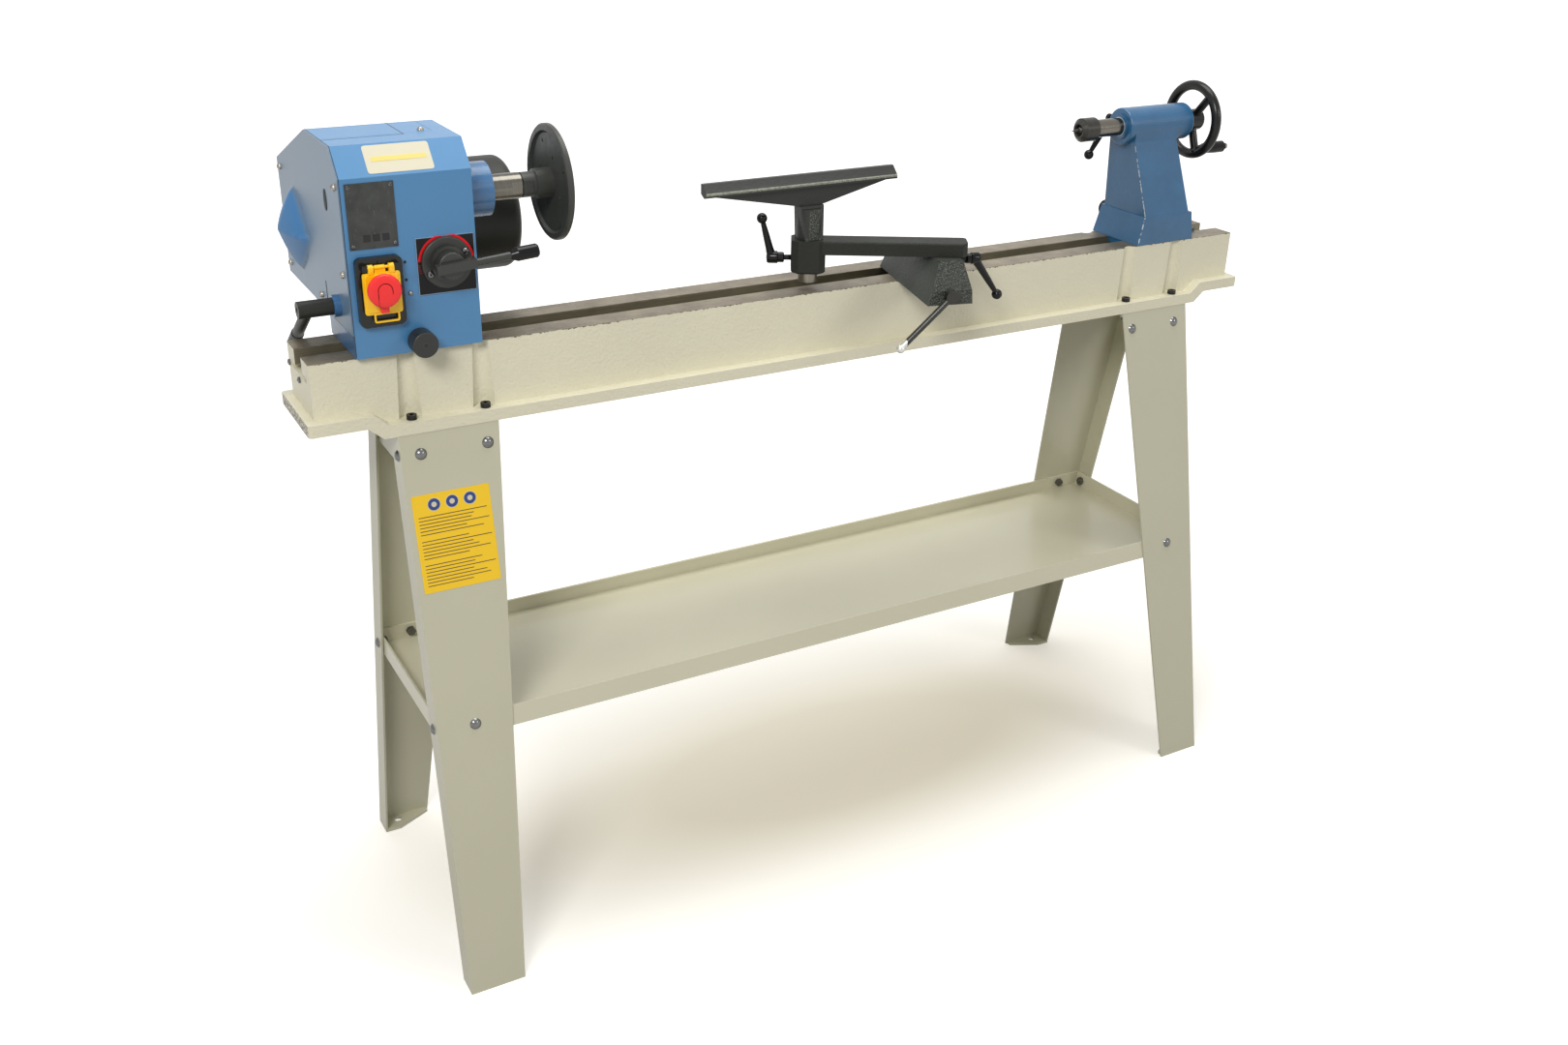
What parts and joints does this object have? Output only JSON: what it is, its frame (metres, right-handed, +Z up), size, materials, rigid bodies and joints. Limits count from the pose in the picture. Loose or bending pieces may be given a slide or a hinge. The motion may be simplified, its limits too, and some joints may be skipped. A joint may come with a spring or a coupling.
{
  "type": "wood lathe",
  "caption": "Free-standing wood turning lathe with a swivelling headstock, tailstock, articulated tool rest and a tray on four splayed legs.",
  "frame": {"origin": "On the floor, in the middle of the four foot plates' bolt holes, under the middle of the bed.", "axes": "+X runs along the bed from the headstock to the tailstock, -Y faces the person at work, +Z is up."},
  "size_m": [1.575, 0.5025, 1.1695],
  "materials": {
    "blue_paint": "smooth hammered enamel",
    "grey_cover_paint": "glossy enamel",
    "cream_paint": "worn enamel",
    "green_black_paint": "rough casting paint",
    "black_paint": "satin enamel",
    "black_oxide": "black oxide",
    "machined_steel": "turned and ground",
    "chrome_steel": "bright plated",
    "black_plastic": "fine grain",
    "yellow_plastic": "moulded",
    "red_plastic": "moulded",
    "green_plastic": "moulded",
    "belt_rubber": "ribbed",
    "plate_black": "printed plate"
  },
  "bodies": {
    "stand": {"bed": "cream_paint", "left_front_leg": "cream_paint", "left_rear_leg": "cream_paint", "right_front_leg": "cream_paint", "right_rear_leg": "cream_paint", "left_leg_bracket": "cream_paint", "right_leg_bracket": "cream_paint", "shelf": "cream_paint", "bed_screws": "black_oxide", "leg_bolts": "chrome_steel", "leg_nuts": "machined_steel", "shelf_bolts": "chrome_steel", "bed_end_stop": "machined_steel"},
    "headstock": {"headstock_base": "blue_paint", "headstock_housing": "blue_paint", "swivel_clamp": "machined_steel", "end_cover": "grey_cover_paint", "access_lid": "blue_paint", "cover_screws": "machined_steel", "motor": "black_paint", "drive_belt": "belt_rubber", "spindle_bearings": "machined_steel", "speed_plate": "plate_black", "speed_dial": "black_plastic", "switch_box": "black_plastic", "name_plate": "plate_black", "index_bush": "machined_steel"},
    "spindle_line": {"spindle": "machined_steel", "spindle_pulley": "machined_steel", "faceplate": "black_oxide"},
    "motor_rotor": {"motor_shaft": "machined_steel", "motor_pulley": "machined_steel"},
    "speed_handle": {"speed_lever": "machined_steel", "speed_grip": "black_plastic"},
    "emergency_flap": {"stop_flap": "yellow_plastic", "stop_mushroom": "red_plastic"},
    "start_key": {"start_button": "green_plastic"},
    "stop_key": {"stop_button": "red_plastic"},
    "index_plunger": {"index_pin": "machined_steel", "index_knob": "black_plastic"},
    "swivel_handle": {"swivel_shaft": "black_oxide", "swivel_lever": "black_oxide"},
    "tailstock": {"tailstock_body": "blue_paint", "tailstock_clamp": "machined_steel"},
    "quill_body": {"quill": "machined_steel"},
    "centre_body": {"live_centre": "machined_steel"},
    "wheel_body": {"handwheel": "green_black_paint", "feed_screw": "machined_steel", "handle_pin": "machined_steel"},
    "wheel_grip": {"wheel_handle": "black_plastic"},
    "quill_lock_body": {"quill_lock": "black_oxide"},
    "tail_clamp_handle": {"tail_clamp_lever": "black_oxide"},
    "rest_clamp": {"banjo_clamp": "green_black_paint"},
    "rest_bolt": {"eye_bolt": "machined_steel"},
    "banjo": {"banjo_base": "green_black_paint"},
    "cam_handle": {"cam_lever": "machined_steel"},
    "arm_body": {"rest_arm": "green_black_paint"},
    "arm_lock_handle": {"arm_lock": "black_oxide"},
    "rest_body": {"tool_rest": "green_black_paint"},
    "rest_lock_handle": {"rest_lock": "black_oxide"}
  },
  "joints": [
    {"name": "headstock_swivel", "type": "hinge", "parent": "stand", "child": "headstock", "pos_m": [-0.635, 0, 0.92], "axis": [0, 0, 1], "range_deg": [-90, 0]},
    {"name": "spindle_spin", "type": "hinge", "parent": "headstock", "child": "spindle_line", "pos_m": [-0.635, 0, 1.089], "axis": [1, 0, 0], "continuous": true},
    {"name": "motor_spin", "type": "hinge", "parent": "headstock", "child": "motor_rotor", "pos_m": [-0.635, 0.158, 1.018], "axis": [1, 0, 0], "continuous": true},
    {"name": "speed_lever_turn", "type": "hinge", "parent": "headstock", "child": "speed_handle", "pos_m": [-0.5924, -0.064, 1.0173], "axis": [0, -1, 0], "range_deg": [-5, 160]},
    {"name": "stop_flap_hinge", "type": "hinge", "parent": "headstock", "child": "emergency_flap", "pos_m": [-0.6795, -0.0775, 1.024], "axis": [1, 0, 0], "range_deg": [-75, 0]},
    {"name": "start_press", "type": "slide", "parent": "headstock", "child": "start_key", "axis": [0, 1, 0], "range_m": [0, 0.0025], "stiffness_N_per_m": 300},
    {"name": "stop_press", "type": "slide", "parent": "headstock", "child": "stop_key", "axis": [0, 1, 0], "range_m": [0, 0.0025], "stiffness_N_per_m": 300},
    {"name": "index_pull", "type": "slide", "parent": "headstock", "child": "index_plunger", "axis": [0, -1, 0], "range_m": [0, 0.012], "stiffness_N_per_m": 400},
    {"name": "swivel_clamp_turn", "type": "hinge", "parent": "headstock", "child": "swivel_handle", "pos_m": [-0.738, -0.01, 0.962], "axis": [1, 0, 0], "range_deg": [0, 60]},
    {"name": "tailstock_slide", "type": "slide", "parent": "stand", "child": "tailstock", "axis": [-1, 0, 0], "range_m": [-0.018, 0.23]},
    {"name": "handwheel_turn", "type": "hinge", "parent": "tailstock", "child": "wheel_body", "pos_m": [0.70658, 0, 1.089], "axis": [-1, 0, 0], "range_deg": [-3230, 2730]},
    {"name": "quill_feed", "type": "slide", "parent": "tailstock", "child": "quill_body", "axis": [-1, 0, 0], "range_m": [-0.045, 0.038]},
    {"name": "centre_spin", "type": "hinge", "parent": "quill_body", "child": "centre_body", "pos_m": [0.5515, 0, 1.089], "axis": [1, 0, 0], "continuous": true},
    {"name": "handle_spin", "type": "hinge", "parent": "wheel_body", "child": "wheel_grip", "pos_m": [0.72658, -0.01619, 1.04328], "axis": [1, 0, 0], "continuous": true},
    {"name": "quill_lock_turn", "type": "hinge", "parent": "tailstock", "child": "quill_lock_body", "pos_m": [0.5635, 0.035, 1.095], "axis": [0, 1, 0], "range_deg": [-20, 60]},
    {"name": "tail_clamp_turn", "type": "hinge", "parent": "tailstock", "child": "tail_clamp_handle", "pos_m": [0.6055, 0.06, 0.936], "axis": [0, 1, 0], "range_deg": [-45, 45]},
    {"name": "rest_slide", "type": "slide", "parent": "stand", "child": "rest_clamp", "axis": [-1, 0, 0], "range_m": [-0.2, 0.17]},
    {"name": "rest_base_turn", "type": "hinge", "parent": "rest_clamp", "child": "rest_bolt", "pos_m": [0.14687, 0, 0.9], "axis": [0, 0, 1], "range_deg": [-12, 14]},
    {"name": "rest_base_slide", "type": "slide", "parent": "rest_bolt", "child": "banjo", "axis": [0.2419, 0.9703, 0], "range_m": [-0.0015, 0.055]},
    {"name": "cam_turn", "type": "hinge", "parent": "banjo", "child": "cam_handle", "pos_m": [0.09755, -0.19782, 0.918], "axis": [0.2419, 0.9703, 0], "range_deg": [-60, 35]},
    {"name": "arm_swing", "type": "hinge", "parent": "banjo", "child": "arm_body", "pos_m": [0.1346, -0.11534, 0.956], "axis": [0, 0, 1], "range_deg": [-40, 25]},
    {"name": "arm_lock_turn", "type": "hinge", "parent": "banjo", "child": "arm_lock_handle", "pos_m": [0.1705, -0.12429, 0.947], "axis": [0.9703, -0.2419, 0], "range_deg": [-45, 45]},
    {"name": "rest_height", "type": "slide", "parent": "arm_body", "child": "rest_body", "axis": [0, 0, 1], "range_m": [0, 0.055]},
    {"name": "rest_lock_turn", "type": "hinge", "parent": "arm_body", "child": "rest_lock_handle", "pos_m": [-0.08009, 0.00269, 0.947], "axis": [0.8763, -0.4818, 0], "range_deg": [-60, 60]}
  ],
  "couplings": [
    {"joint": "motor_spin", "follows": "spindle_spin", "ratio": 1.3499},
    {"joint": "quill_feed", "follows": "handwheel_turn", "m_per_rad": 0.00079577}
  ]
}
